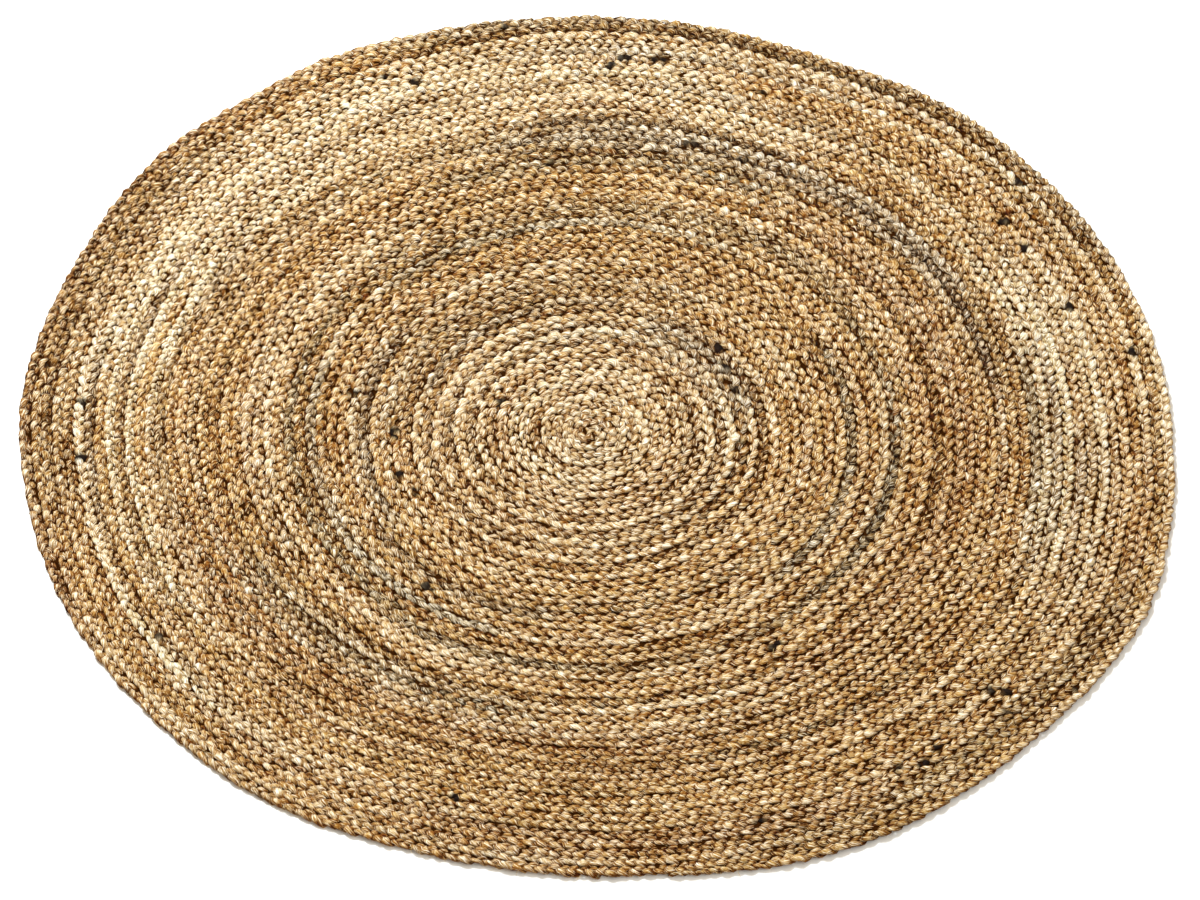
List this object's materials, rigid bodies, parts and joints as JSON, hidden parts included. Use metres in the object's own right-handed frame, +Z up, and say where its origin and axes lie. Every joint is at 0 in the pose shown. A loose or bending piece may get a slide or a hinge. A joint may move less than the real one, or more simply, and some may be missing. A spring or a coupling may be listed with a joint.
{
  "type": "round braided jute rug",
  "caption": "Round flat rug of two natural jute braids, wound side by side in one spiral and sewn row to row, resting flat on its underside.",
  "frame": {"origin": "on the floor under the middle of the rug's own box, at the flat underside", "axes": "+X right and +Y away from the picture's viewer across the rug; +Z up through its thickness"},
  "size_m": [1.1938, 1.1922, 0.008],
  "materials": {
    "jute": "dry matt braided plant fibre, straw to golden brown"
  },
  "bodies": {
    "root": {"rug": "jute"}
  },
  "joints": []
}
